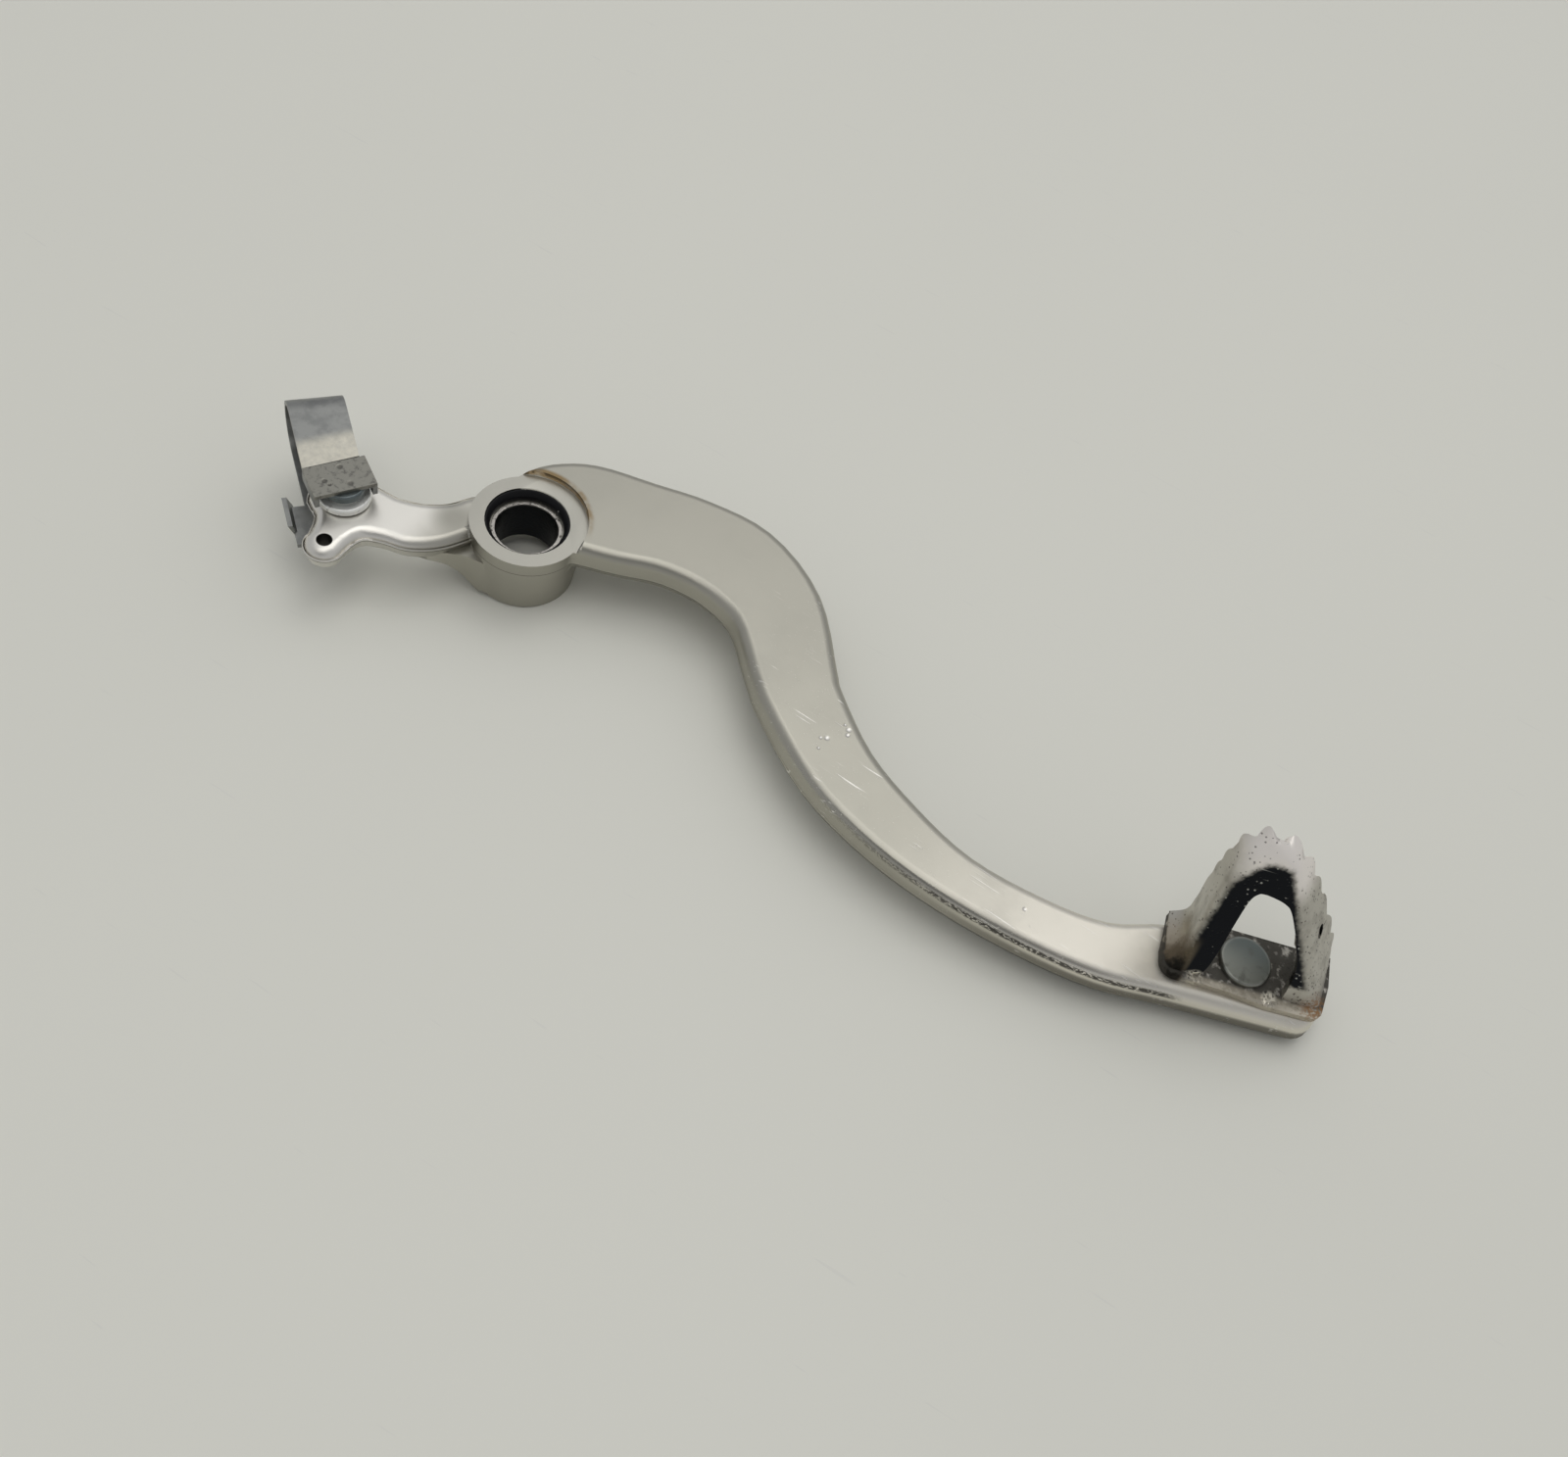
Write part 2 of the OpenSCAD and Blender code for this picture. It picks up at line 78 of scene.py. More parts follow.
def cut_by(obj, cutter):
    cut = obj.modifiers.new("Cut", "BOOLEAN")
    cut.object = cutter
    bpy.ops.object.modifier_apply(modifier=cut.name)
    bpy.data.objects.remove(cutter)


def break_edges(obj, width):
    edge = obj.modifiers.new("Broken edges", "BEVEL")
    edge.width = width
    edge.segments = BEVEL_STEPS
    edge.limit_method = "ANGLE"
    edge.angle_limit = SHARP_EDGE
    edge.harden_normals = True
    bpy.ops.object.modifier_apply(modifier=edge.name)


def shade(obj, angle):
    bpy.ops.object.shade_smooth_by_angle(angle=math.radians(angle))
    even = obj.modifiers.new("Even shading", "WEIGHTED_NORMAL")
    even.weight = LARGE_FACE_WEIGHT
    even.keep_sharp = True
    bpy.ops.object.modifier_apply(modifier=even.name)


print("Edges sharper than", round(math.degrees(SHARP_EDGE)), "degrees get a bevel")

# %% [markdown]
# ## A finished copy of a piece
#
# The part's own meshes stay as they are.

# %% The helper that makes a finished copy
def finished_copy(node, name, body, material, bevel=0.0, angle=30, flat=0.3, cutter=None):
    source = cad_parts[node]
    copy = source.copy()
    copy.data = source.data.copy()
    copy.name = copy.data.name = name
    # A copy isn't a node of the part, so the node's own labels come off
    for key in list(copy.keys()):
        del copy[key]
    copy.parent = None
    bpy.context.scene.collection.objects.link(copy)
    join_skin(copy, flat)
    if cutter:
        cut_by(copy, cutter)
    if bevel:
        break_edges(copy, bevel)
    shade(copy, angle)
    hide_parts(node)
    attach(copy, body)
    copy.data.materials.clear()
    copy.data.materials.append(material)
    print(name, "has", len(copy.data.polygons), "faces")


# %% [markdown]
# ## Materials as arithmetic
#
# A finish is a sum of layers, so it reads best as arithmetic. The class below wraps one socket
# of a material's nodes. Its operators add Math nodes, and `node` adds any other node.

# %% A socket that can be added and multiplied
class Socket:
    def __init__(self, tree, socket=None):
        self.tree, self.socket = tree, socket

    def node(self, kind, inputs, out=0, **settings):
        new = self.tree.nodes.new("ShaderNode" + kind)
        for name, value in settings.items():
            setattr(new, name, value)
        for key, value in inputs.items():
            if isinstance(value, Socket):
                self.tree.links.new(value.socket, new.inputs[key])
            else:
                new.inputs[key].default_value = value
        return Socket(self.tree, new.outputs[out] if new.outputs else None)

    def __add__(self, other):
        return self.node("Math", {0: self, 1: other}, operation="ADD")

    def __sub__(self, other):
        return self.node("Math", {0: self, 1: other}, operation="SUBTRACT")

    def __rsub__(self, other):
        return self.node("Math", {0: other, 1: self}, operation="SUBTRACT")

    def __mul__(self, other):
        return self.node("Math", {0: self, 1: other}, operation="MULTIPLY")

    __radd__ = __add__
    __rmul__ = __mul__

    def soft_min(self, other, width):
        return self.node("Math", {0: self, 1: other, 2: width}, operation="SMOOTH_MIN")


print("Sockets add, subtract and multiply")

# %% [markdown]
# ## Masks
#
# A mask is a number from 0 to 1 that says where a layer shows. `ramp` rises softly from one
# value to the other, `between` rises and falls again, and `near` is 1 close to a point. The
# points are given in metres in the frame of the part, so every mark keeps its place on the
# piece when the piece moves.

# %% Masks by place
def rgb(red, green, blue):
    return (red, green, blue, 1.0)


def axis(place, letter):
    return place.node("SeparateXYZ", {"Vector": place}, out=letter)


def ramp(value, low, high):
    return value.node("MapRange", {"Value": value, "From Min": low, "From Max": high},
                      interpolation_type="SMOOTHSTEP")


def between(value, start, full, last, end):
    return ramp(value, start, full) * ramp(value, end, last)


def mix(first, second, share):
    return share.node("Mix", {0: share, 6: first, 7: second}, out=2, data_type="RGBA")


def near(place, point, inside, outside):
    gap = place.node("VectorMath", {0: place, 1: point}, out="Value", operation="DISTANCE")
    return ramp(gap, outside, inside)


def spots(place, height, rows):
    total = 0.0
    for x, y, inside, outside in rows:
        total = near(place, (x, y, height), inside, outside) + total
    return total


print("The masks by place are ready")

# %% [markdown]
# ## Patterns
#
# Noise makes clouds and grain. Noise that is pulled long makes scratches, and cells with a
# small dark core make pits. A Mapping node turns or pulls the pattern on the piece.

# %% Patterns of wear
def noise(place, scale, detail=3.0, rough=0.5):
    return place.node("TexNoise", {"Vector": place, "Scale": scale, "Detail": detail,
                                   "Roughness": rough})


def stretched(place, turn, scale):
    return place.node("Mapping", {"Vector": place, "Rotation": turn, "Scale": scale})


def turned(place, centre, degrees):
    moved = place.node("VectorMath", {0: place, 1: centre}, operation="SUBTRACT")
    return stretched(moved, (0, 0, math.radians(degrees)), (1, 1, 1))


def scratches(place, angle, fine, long, share):
    lines = noise(stretched(place, (0, 0, math.radians(-angle)), (long, fine, fine)), 1.0, 1.0)
    patches = ramp(noise(place, 90.0, 1.0), 0.5, 0.6)
    return ramp(lines, 1 - share, 1.04 - share) * patches


def pits(place, scale, size, share):
    spot = place.node("TexVoronoi", {"Vector": place, "Scale": scale}, out="Distance")
    patches = ramp(noise(place, scale * 0.37, 0.0), 1 - share, 1.02 - share)
    return ramp(spot, size, size * 0.4) * patches


print("The patterns of wear are ready")

# %% [markdown]
# ## The surface
#
# Every finish ends in one Principled surface. Its relief goes through a Bump node, whose
# depth is a tenth of a millimetre, because these marks are felt more than seen.

# %% How a finish starts and ends
RELIEF_DEPTH = 0.0001


def new_finish(name):
    material = bpy.data.materials.new(name)
    material.use_nodes = True
    tree = material.node_tree
    tree.nodes.clear()
    place = Socket(tree).node("TexCoord", {}, out="Object")
    return material, place


def close_finish(material, place, colour, rough, height, metal=1.0, ior=1.5):
    bump = {"Height": height, "Strength": 1.0, "Distance": RELIEF_DEPTH}
    normal = place.node("Bump", bump, out="Normal")
    surface = place.node("BsdfPrincipled", {
        "Base Color": colour,
        "Roughness": rough,
        "Metallic": metal,
        "IOR": ior,
        "Normal": normal,
    })
    place.node("OutputMaterial", {"Surface": surface})
    print(material.name, "uses", len(material.node_tree.nodes), "nodes")
    return material


# %% [markdown]
# ## Forged aluminium: its tone, with painted light and shade
#
# The arm came out of a closed die and was blasted with fine beads, so it is matt and soft. Its
# colour is painted duller at the boss and brighter towards the toe and on the short lever, and its
# walls are painted darker than its top, most of all at the toe end. The ramps below are fitted to
# the light of that one picture, so they are partly the metal's tone and partly painted light and
# shade. Under a very different light, the boss's and the toe's values are the two to bring
# together.

# %% The tone of the aluminium
BOSS_TONE_AND_SHADE = rgb(0.425, 0.412, 0.360)
TOE_TONE_AND_LIGHT = rgb(0.77, 0.735, 0.655)
LEVER_TONE_AND_LIGHT = rgb(0.80, 0.78, 0.73)
CLOUDED = rgb(0.39, 0.38, 0.335)
WALL_SHADE = rgb(0.34, 0.325, 0.285)
TOE_WALL_SHADE = rgb(0.19, 0.18, 0.155)


def arm_tone_and_painted_light(x, height, cloud):
    # Painted light: the colour is duller at the boss and brighter towards the toe and on the lever
    tone = mix(BOSS_TONE_AND_SHADE, TOE_TONE_AND_LIGHT, ramp(x, 0.115, 0.18))
    tone = mix(tone, LEVER_TONE_AND_LIGHT, ramp(x, -0.010, -0.024))
    tone = mix(tone, CLOUDED, ramp(cloud, 0.48, 0.72) * 0.3)
    # Painted shade: the walls are darker than the top, most of all at the toe end
    wall = ramp(height, 0.0085, 0.0068)
    tone = mix(tone, WALL_SHADE, wall * ramp(x, 0.10, 0.16))
    return mix(tone, TOE_WALL_SHADE, wall * ramp(x, 0.13, 0.19) * 0.8)


print("The top of the arm is", round(TOE_TONE_AND_LIGHT[0] / BOSS_TONE_AND_SHADE[0], 2), "times as bright at the toe end")

# %% [markdown]
# ## Forged aluminium: its wear
#
# Boots have polished the near edge, where dark pits show in a line towards the toe. Scratches
# cross the arm in two directions, and a few dents sit where something hard hit it.

# %% The wear of the arm
TOP = 0.0113  # height of the arm's top above the middle of the bore, in metres
DENTS = (
    (0.0984, -0.0027, 0.0002, 0.0009),
    (0.0990, -0.0042, 0.0002, 0.0007),
    (0.0970, -0.0020, 0.0001, 0.0005),
    (0.0953, -0.0082, 0.0002, 0.0009),
    (0.0940, -0.0091, 0.0001, 0.0006),
    (0.0951, -0.0120, 0.0001, 0.0005),
    (0.1567, -0.0190, 0.0001, 0.0007),
)


def arm_scratches(place, x):
    lines = scratches(place, 28, 1500.0, 60.0, 0.33) + scratches(place, -38, 1700.0, 70.0, 0.3)
    flecks = pits(stretched(place, (0, 0, 0.5), (1, 2.2, 1)), 1100.0, 0.2, 0.4)
    return (lines + flecks) * ramp(x, 0.045, 0.085)


def near_edge(x, y):
    return ramp(y, -0.0150, -0.0172) * ramp(x, 0.06, 0.09)


def edge_pits(place, x, y, height):
    grain = noise(stretched(place, (0, 0, 0), (1300, 1300, 3600)), 1.0, 3.0)
    specks = ramp(grain + ramp(x, 0.12, 0.18) * 0.07, 0.47, 0.54)
    line = between(height, 0.0086, 0.0092, 0.0098, 0.0103)
    return specks * line * near_edge(x, y) * ramp(x, 0.09, 0.15)


print(len(DENTS), "dents are placed on the arm")

# %% [markdown]
# ## Forged aluminium: the boss and the seam
#
# The two halves of the die left a thin seam round the arm. The end of the boss was machined flat
# after forging, and the step beside it has a brown stain, as from old oil. The lever is painted
# darker where it runs into the boss, as painted shade, and the inside of the spring's hole is
# painted dark, as painted shade.

# %% The marks of making
SEAM = 0.0056  # height of the die's seam, in metres
FACE = 0.0093  # height of the machined face, in metres
FACE_RADIUS = 0.0154


def seam_line(height):
    return between(height, SEAM - 0.0004, SEAM - 0.0001, SEAM - 0.0001, SEAM + 0.0001)


def oil_stain(place, radius, y, height):
    step = between(radius, 0.0150, 0.0154, 0.0160, 0.0172) * ramp(height, 0.0093, 0.0096)
    blotches = 0.35 + ramp(noise(place, 210.0, 3.0), 0.35, 0.6)
    return step * blotches * ramp(y, 0.003, 0.012)


def machined_face(radius, height):
    level = between(height, FACE - 0.0002, FACE - 0.00005, FACE + 0.00005, FACE + 0.0002)
    return level * ramp(radius, FACE_RADIUS + 0.0003, FACE_RADIUS)


print("The seam lies", round((FACE - SEAM) * 1000, 1), "mm below the machined face")

# %% [markdown]
# ## Forged aluminium: all layers
#
# The layers go on from the bottom up: first the tone with its painted light and shade, then dirt
# and seam, then scratches and painted shade, and last the dents and the machined face, which lie
# over everything.

# %% The aluminium of the arm
DARK_PITS = rgb(0.035, 0.032, 0.03)
SEAM_SHADE = rgb(0.10, 0.095, 0.085)
OIL = rgb(0.24, 0.17, 0.085)
SCRATCHED = rgb(0.92, 0.90, 0.86)
PAINTED_ROOT_SHADE = rgb(0.36, 0.35, 0.31)
HOLE_SHADE = rgb(0.03, 0.028, 0.026)
DENTED = rgb(0.95, 0.93, 0.90)
MACHINED = rgb(0.45, 0.44, 0.395)
LEVER_ROOT = (-0.0150, -0.0105, 0.0)
SPRING_HOLE = (-0.0341, -0.0367, 0.0)


def forged_aluminium():
    material, place = new_finish("forged_aluminium")
    x, y, height = axis(place, "X"), axis(place, "Y"), axis(place, "Z")
    # The same place without its height, for marks that go straight down
    flat = place.node("VectorMath", {0: place, 1: (1.0, 1.0, 0.0)}, operation="MULTIPLY")
    radius = flat.node("VectorMath", {0: flat}, out="Value", operation="LENGTH")
    cloud = noise(place, 45.0, 4.0, 0.55)
    grain = noise(place, 5200.0, 2.0)
    lines = arm_scratches(place, x)
    specks = edge_pits(place, x, y, height)
    dents = spots(place, TOP, DENTS)
    polish = ramp(height, 0.0112, 0.0106) * near_edge(x, y)
    base = arm_tone_and_painted_light(x, height, cloud)
    base = mix(base, DARK_PITS, specks * 0.9)
    base = mix(base, SEAM_SHADE, seam_line(height) * 0.75)
    base = mix(base, OIL, oil_stain(place, radius, y, height) * 0.7)
    base = mix(base, SCRATCHED, lines * 0.5)
    # Painted shade where the lever runs into the boss
    base = mix(base, PAINTED_ROOT_SHADE, near(flat, LEVER_ROOT, 0.001, 0.0080))
    # Painted shade inside the spring's hole
    base = mix(base, HOLE_SHADE, near(flat, SPRING_HOLE, 0.00188, 0.0021))
    base = mix(base, DENTED, dents * 0.7)
    base = mix(base, MACHINED, machined_face(radius, height) * 0.9)
    rough = 0.38 + (cloud - 0.5) * 0.14 - lines * 0.08 - polish * 0.12
    relief = grain * 0.10 + cloud * 0.25 - lines * 0.25 - dents * 1.2 - specks * 0.5
    return close_finish(material, place, base, rough, relief)


ALUMINIUM = forged_aluminium()

# %% [markdown]
# ## Bush, seals and rivet
#
# The bush is a thin metal shell with a bright end; its bore is painted dark as painted shade, with
# dark patches as from old grease. The seals are black rubber with crumbs of dirt on them. The
# rivet's head is plain steel, painted lighter on its near half and with a painted highlight round
# its rim. Its tone here is lighter than in the reference photograph, where the middle of the head
# is darker, and brightest at its lower left.

# %% Metal of the bush and rubber of the seals
def bush_metal():
    material, place = new_finish("bush_metal")
    grease = ramp(noise(place, 900.0, 4.0, 0.6), 0.56, 0.66)
    # Painted shade: the bore below the end is painted near black
    end = ramp(axis(place, "Z"), 0.0056, 0.0061)
    base = mix(rgb(0.018, 0.020, 0.023), rgb(0.42, 0.40, 0.37), end)
    base = mix(base, rgb(0.03, 0.028, 0.025), grease * 0.8)
    relief = noise(place, 1300.0, 4.0) * 0.8
    return close_finish(material, place, base, 0.30 + grease * 0.2, relief)


def seal_rubber():
    material, place = new_finish("seal_rubber")
    crumbs = pits(place, 700.0, 0.22, 0.42)
    base = mix(rgb(0.004, 0.004, 0.005), rgb(0.45, 0.44, 0.40), crumbs)
    rough = 0.45 + (noise(place, 300.0) - 0.5) * 0.3
    relief = noise(place, 500.0, 3.0) * 0.8
    return close_finish(material, place, base, rough, relief, metal=0.0, ior=1.3)


BUSH, RUBBER = bush_metal(), seal_rubber()

# %% Steel of the rivet
HEAD_CENTRE = (0.2067, 0.0003, 0.0133)


def rivet_steel():
    material, place = new_finish("rivet_steel")
    cloud = noise(place, 350.0, 4.0)
    # Painted highlight round the rim, and painted light on the near half of the head
    rim_highlight = 1 - near(place, HEAD_CENTRE, 0.0056, 0.0062)
    lit_near_half = ramp(axis(place, "Y"), 0.005, -0.005)
    base = mix(rgb(0.110, 0.125, 0.120), rgb(0.24, 0.25, 0.225), lit_near_half)
    base = mix(base, rgb(0.34, 0.34, 0.31), rim_highlight * 0.35)
    base = mix(base, rgb(0.10, 0.10, 0.09), ramp(cloud, 0.52, 0.7) * 0.5)
    relief = noise(place, 4200.0, 2.0) * 0.12 + cloud * 0.15
    return close_finish(material, place, base, 0.34 + cloud * 0.14, relief)


RIVET = rivet_steel()

# %% [markdown]
# ## Toe tip: the dark web
#
# The tip was pressed from sheet and plated. Its web looks like a dark mirror in the reference
# photograph, and here it is painted near black and glossy: partly a dark finish, partly a painted
# reflection of something dark. The dark field follows the web's outline, so it is the room inside
# four lines whose corners are rounded by a soft minimum. `u` runs along the tip, `v` across it and
# `z` up, all from the rivet.

# %% The dark field of the web
TIP_PLACE = (0.2067, 0.0003, 0.0093)
TIP_TURN = -19.9  # degrees


def dark_web_finish_and_reflection(place, u, v, z):
    blur = (noise(place, 800.0, 3.0) - 0.5) * 0.0012
    left = u + 0.0171
    corner = (0.0602 - z + u * 1.57) * 0.537
    right = (0.0190 - u - z * 0.617) * 0.851
    top = 0.0408 - z
    inside = left.soft_min(corner, 0.003).soft_min(right, 0.004).soft_min(top, 0.003)
    # The web leans outward, and only its own face is dark
    above_web = v + 0.008 - z * 0.3
    web = ramp(inside + blur, -0.0005, 0.0013) * ramp(above_web, 0.0024, 0.0011)
    lower_end = z - ramp(u, -0.002, 0.002) * 0.004 + blur
    return web * ramp(lower_end, 0.0040, 0.0052)


print("The toe tip is turned by", TIP_TURN, "degrees")

# %% [markdown]
# ## Toe tip: dirt, painted shade and rust
#
# The foot is tarnished, tan at the top, then brown, then black at the edge. Grime and painted shade
# cover the base except for a lighter tan strip along its front edge, and one corner of the base has
# started to rust. Each helper takes the colour so far and gives it back with its own layer on it,
# with the mask, which also makes the surface duller.

# %% Dirt on the foot, and dirt and painted shade on the base
TAN = rgb(0.42, 0.36, 0.27)
BROWN = rgb(0.12, 0.09, 0.055)
BLACK = rgb(0.015, 0.015, 0.014)
GRIME_AND_SHADE = rgb(0.050, 0.046, 0.037)
LIGHT_TAN_STRIP = rgb(0.50, 0.45, 0.36)
RUST = rgb(0.26, 0.125, 0.035)
RUST_PLACE = (0.0180, -0.0070, 0.0044)


def tarnished_foot(base, u, v, z, smear):
    foot = ramp(u, -0.0142, -0.0162) * ramp(z, 0.016, 0.006)
    low = v + smear
    base = mix(base, TAN, foot * ramp(low, 0.010, 0.004) * 0.7)
    base = mix(base, BROWN, foot * ramp(low, 0.004, -0.001) * 0.85)
    base = mix(base, BLACK, foot * ramp(low, -0.001, -0.0045) * 0.95)
    return base, foot * ramp(v, 0.004, -0.004)


def grime_and_shade_on_base(base, place, u, v, z, smear):
    on_base = ramp(z, 0.0044, 0.0040)
    # Painted shade, partly grime: the base inside the loop is dark
    grime_and_shade = on_base * ramp(v + smear, -0.0068, -0.0048)
    base = mix(base, GRIME_AND_SHADE, grime_and_shade * ramp(noise(place, 500.0, 4.0), 0.28, 0.48) * 0.94)
    strip = on_base * ramp(v, -0.0060, -0.0074) * ramp(u, -0.0145, -0.0120)
    return mix(base, LIGHT_TAN_STRIP, strip * 0.6), grime_and_shade


def rusty_corner(base, place, local):
    flakes = ramp(noise(place, 1300.0, 5.0, 0.7), 0.40, 0.54)
    rust = near(local, RUST_PLACE, 0.001, 0.0056) * flakes
    return mix(base, RUST, rust * 0.85), rust


print("The foot has three depths of tarnish")

# %% [markdown]
# ## Toe tip: the slit
#
# A short slit opens the outer skin of the wall. Its place and directions are used twice: the
# material paints shade into it here, black and deeper than the cut, and a flattened cylinder cuts
# it further down.

# %% Place of the slit, and its mask of painted shade
SLIT_LENGTH, SLIT_WIDTH = 0.0036, 0.0008
SLIT_REACH = 0.002  # how deep the black goes, in metres
SLIT_MIDDLE = Vector((0.21545, 0.00805, 0.02925))
SLIT_ALONG = Vector((0.41, -0.52, -0.745)).normalized()
WALL_NORMAL = Vector((0.224, 0.607, -0.761))
SLIT_ACROSS = WALL_NORMAL.cross(SLIT_ALONG).normalized()
SLIT_FRAME = Matrix((SLIT_ACROSS, SLIT_ALONG.cross(SLIT_ACROSS), SLIT_ALONG))


def slit_shade_mask(place):
    from_slit = place.node("VectorMath", {0: place, 1: SLIT_MIDDLE}, operation="SUBTRACT")
    level = stretched(from_slit, SLIT_FRAME.to_euler(), (1, 1, 1))
    scale = (2 / SLIT_WIDTH, 1 / SLIT_REACH, 2 / SLIT_LENGTH)
    ball = stretched(level, (0, 0, 0), scale)
    size = ball.node("VectorMath", {0: ball}, out="Value", operation="LENGTH")
    return ramp(size, 1.1, 0.95)


print("The slit is", round(SLIT_LENGTH * 1000, 1), "mm long")

# %% [markdown]
# ## Toe tip: all layers
#
# The walls kept a light grey plating with pits, and the crown is painted near white and less
# metallic, partly rubbed bright and partly painted light on its top. The dark web carries bright
# scratches and flecks. Crumbs of dried dirt sit in two places on the base and stand up from it in
# the relief.

# %% The steel of the toe tip
PLATING = rgb(0.52, 0.50, 0.45)
DULL_PLATING = rgb(0.38, 0.36, 0.32)
CROWN_RUB_AND_LIGHT = rgb(0.93, 0.88, 0.83)
PITTED = rgb(0.06, 0.05, 0.045)
DARK_FINISH_AND_REFLECTION = rgb(0.012, 0.013, 0.016)
SCRATCHED_WEB = rgb(0.55, 0.55, 0.52)
CRUMBS = rgb(0.72, 0.68, 0.58)
SLIT_SHADE = rgb(0.006, 0.006, 0.006)


def toe_pits(place, local, u, web):
    tall = pits(stretched(local, (0, 0, 0), (1, 1, 0.45)), 900.0, 0.26, 0.62)
    return pits(place, 950.0, 0.30, 0.5) + tall * ramp(u, -0.004, 0.002) * (1 - web)


def dry_crumbs(place, local):
    heaps = (near(local, (0.0065, -0.0074, 0.004), 0.0012, 0.0024)
             + near(local, (-0.0120, -0.0076, 0.004), 0.0012, 0.0026))
    return heaps * ramp(noise(place, 1300.0, 2.0), 0.42, 0.52)


def toe_steel():
    material, place = new_finish("toe_steel")
    local = turned(place, TIP_PLACE, TIP_TURN)
    u, v, z = axis(local, "X"), axis(local, "Y"), axis(local, "Z")
    cloud = noise(place, 190.0, 4.0, 0.6)
    smear = noise(place, 700.0, 4.0, 0.6) * 0.004
    web = dark_web_finish_and_reflection(place, u, v, z)
    crown_rub_and_light = near(local, (-0.0070, 0.006, 0.0425), 0.007, 0.016)
    specks = toe_pits(place, local, u, web)
    flecks = pits(stretched(place, (0, 0, 0.4), (1, 1.6, 1)), 620.0, 0.24, 0.46)
    lines = scratches(local, -24, 1300.0, 120.0, 0.36) * ramp(noise(place, 260.0, 1.0), 0.48, 0.56)
    crumbs = dry_crumbs(place, local)
    base = mix(PLATING, DULL_PLATING, ramp(cloud, 0.45, 0.7))
    # Partly painted light: the top of the loop is lighter
    base = mix(base, CROWN_RUB_AND_LIGHT, crown_rub_and_light)
    base = mix(base, PITTED, specks * 0.75)
    # Partly painted reflection: the web is painted near black
    base = mix(base, DARK_FINISH_AND_REFLECTION, web)
    base = mix(base, SCRATCHED_WEB, (lines + flecks * 0.8) * web * 0.8)
    base, tarnish = tarnished_foot(base, u, v, z, smear)
    base, grime_and_shade = grime_and_shade_on_base(base, place, u, v, z, smear)
    base = mix(base, CRUMBS, crumbs * 0.9)
    base, rust = rusty_corner(base, place, local)
    # Painted shade: the slit is painted black
    base = mix(base, SLIT_SHADE, slit_shade_mask(place))
    dirty = tarnish + grime_and_shade + rust
    rough = 0.42 + (cloud - 0.5) * 0.15 - web * 0.22 + ramp(dirty, 0.0, 1.0) * 0.25
    relief = cloud * 0.5 + noise(place, 3000.0, 3.0) * 0.12 - specks * 0.6
    relief = relief - lines * web * 0.3 + dirty * 0.3 + crumbs * 3.0
    metal = 1.0 - ramp(rust + grime_and_shade * 0.6, 0.2, 0.8) * 0.8 - crown_rub_and_light * (1 - web) * 0.6
    return close_finish(material, place, base, rough, relief, metal=metal)


TOE = toe_steel()

# %% [markdown]
# ## Zinc of the pin and the clip
#
# Both are zinc plated. The pin stayed bright on its collar and dark on its head. The clip's strap
# has turned a dull blue grey, its foot is rubbed bright and mottled, and its clasp plate is darker,
# with a few small dimples that are painted dark as painted shade.

# %% The zinc of the pin
def pin_zinc():
    material, place = new_finish("pin_zinc")
    cloud = noise(place, 600.0, 3.0)
    head = ramp(axis(place, "Z"), 0.0104, 0.0110)
    base = mix(rgb(0.92, 0.92, 0.88), rgb(0.16, 0.185, 0.19), head)
    base = mix(base, rgb(0.12, 0.11, 0.09), ramp(cloud, 0.58, 0.7) * 0.5)
    metal = 0.55 + head * 0.45
    return close_finish(material, place, base, 0.30 + cloud * 0.12, cloud * 0.2, metal=metal)


PIN = pin_zinc()

# %% The zinc of the clip
CLIP_PLACE = (-0.03933, -0.02308, 0.0093)
CLIP_TURN = -140.8  # degrees
PLATE_TOP = 0.0051
DIMPLES = (
    (0.0042, 0.0002, 0.0003, 0.0010),
    (0.0002, 0.0046, 0.0003, 0.0009),
    (-0.0014, -0.0013, 0.0003, 0.0011),
    (-0.0012, 0.0036, 0.0002, 0.0006),
)


def clip_zinc():
    material, place = new_finish("clip_zinc")
    local = turned(place, CLIP_PLACE, CLIP_TURN)
    cloud = noise(place, 260.0, 4.0, 0.6)
    mottle = noise(place, 700.0, 4.0, 0.65)
    top = ramp(axis(local, "Z"), 0.0035, 0.0045)
    along = axis(local, "X") + axis(local, "Y") * 0.14
    foot = between(along, 0.0061, 0.0063, 0.0120, 0.0160) * top
    plate = ramp(along, 0.0063, 0.0061) * top
    dimples_and_shade = spots(local, PLATE_TOP, DIMPLES)
    base = mix(rgb(0.30, 0.305, 0.295), rgb(0.24, 0.245, 0.24), ramp(cloud, 0.4, 0.65))
    base = mix(base, rgb(0.66, 0.63, 0.54), foot * (0.75 + (mottle - 0.5) * 0.8))
    base = mix(base, rgb(0.27, 0.265, 0.235), plate)
    base = mix(base, rgb(0.11, 0.105, 0.10), plate * ramp(mottle, 0.5, 0.68) * 0.7)
    # Painted shade in the dimples
    base = mix(base, rgb(0.05, 0.045, 0.04), dimples_and_shade * 0.5)
    rough = 0.40 + (cloud - 0.5) * 0.2
    relief = cloud * 0.25 + mottle * 0.25 - dimples_and_shade * 1.4
    return close_finish(material, place, base, rough, relief)


CLIP = clip_zinc()

# %% [markdown]
# ## The tool that cuts the slit
#
# A thin cylinder is added at its place in the middle of the scene, flattened in edit mode, and
# then turned and moved as an object, because it is only a tool and is deleted after the cut.

# %% The slit's cutter
CUTTER_DEPTH = 0.0024

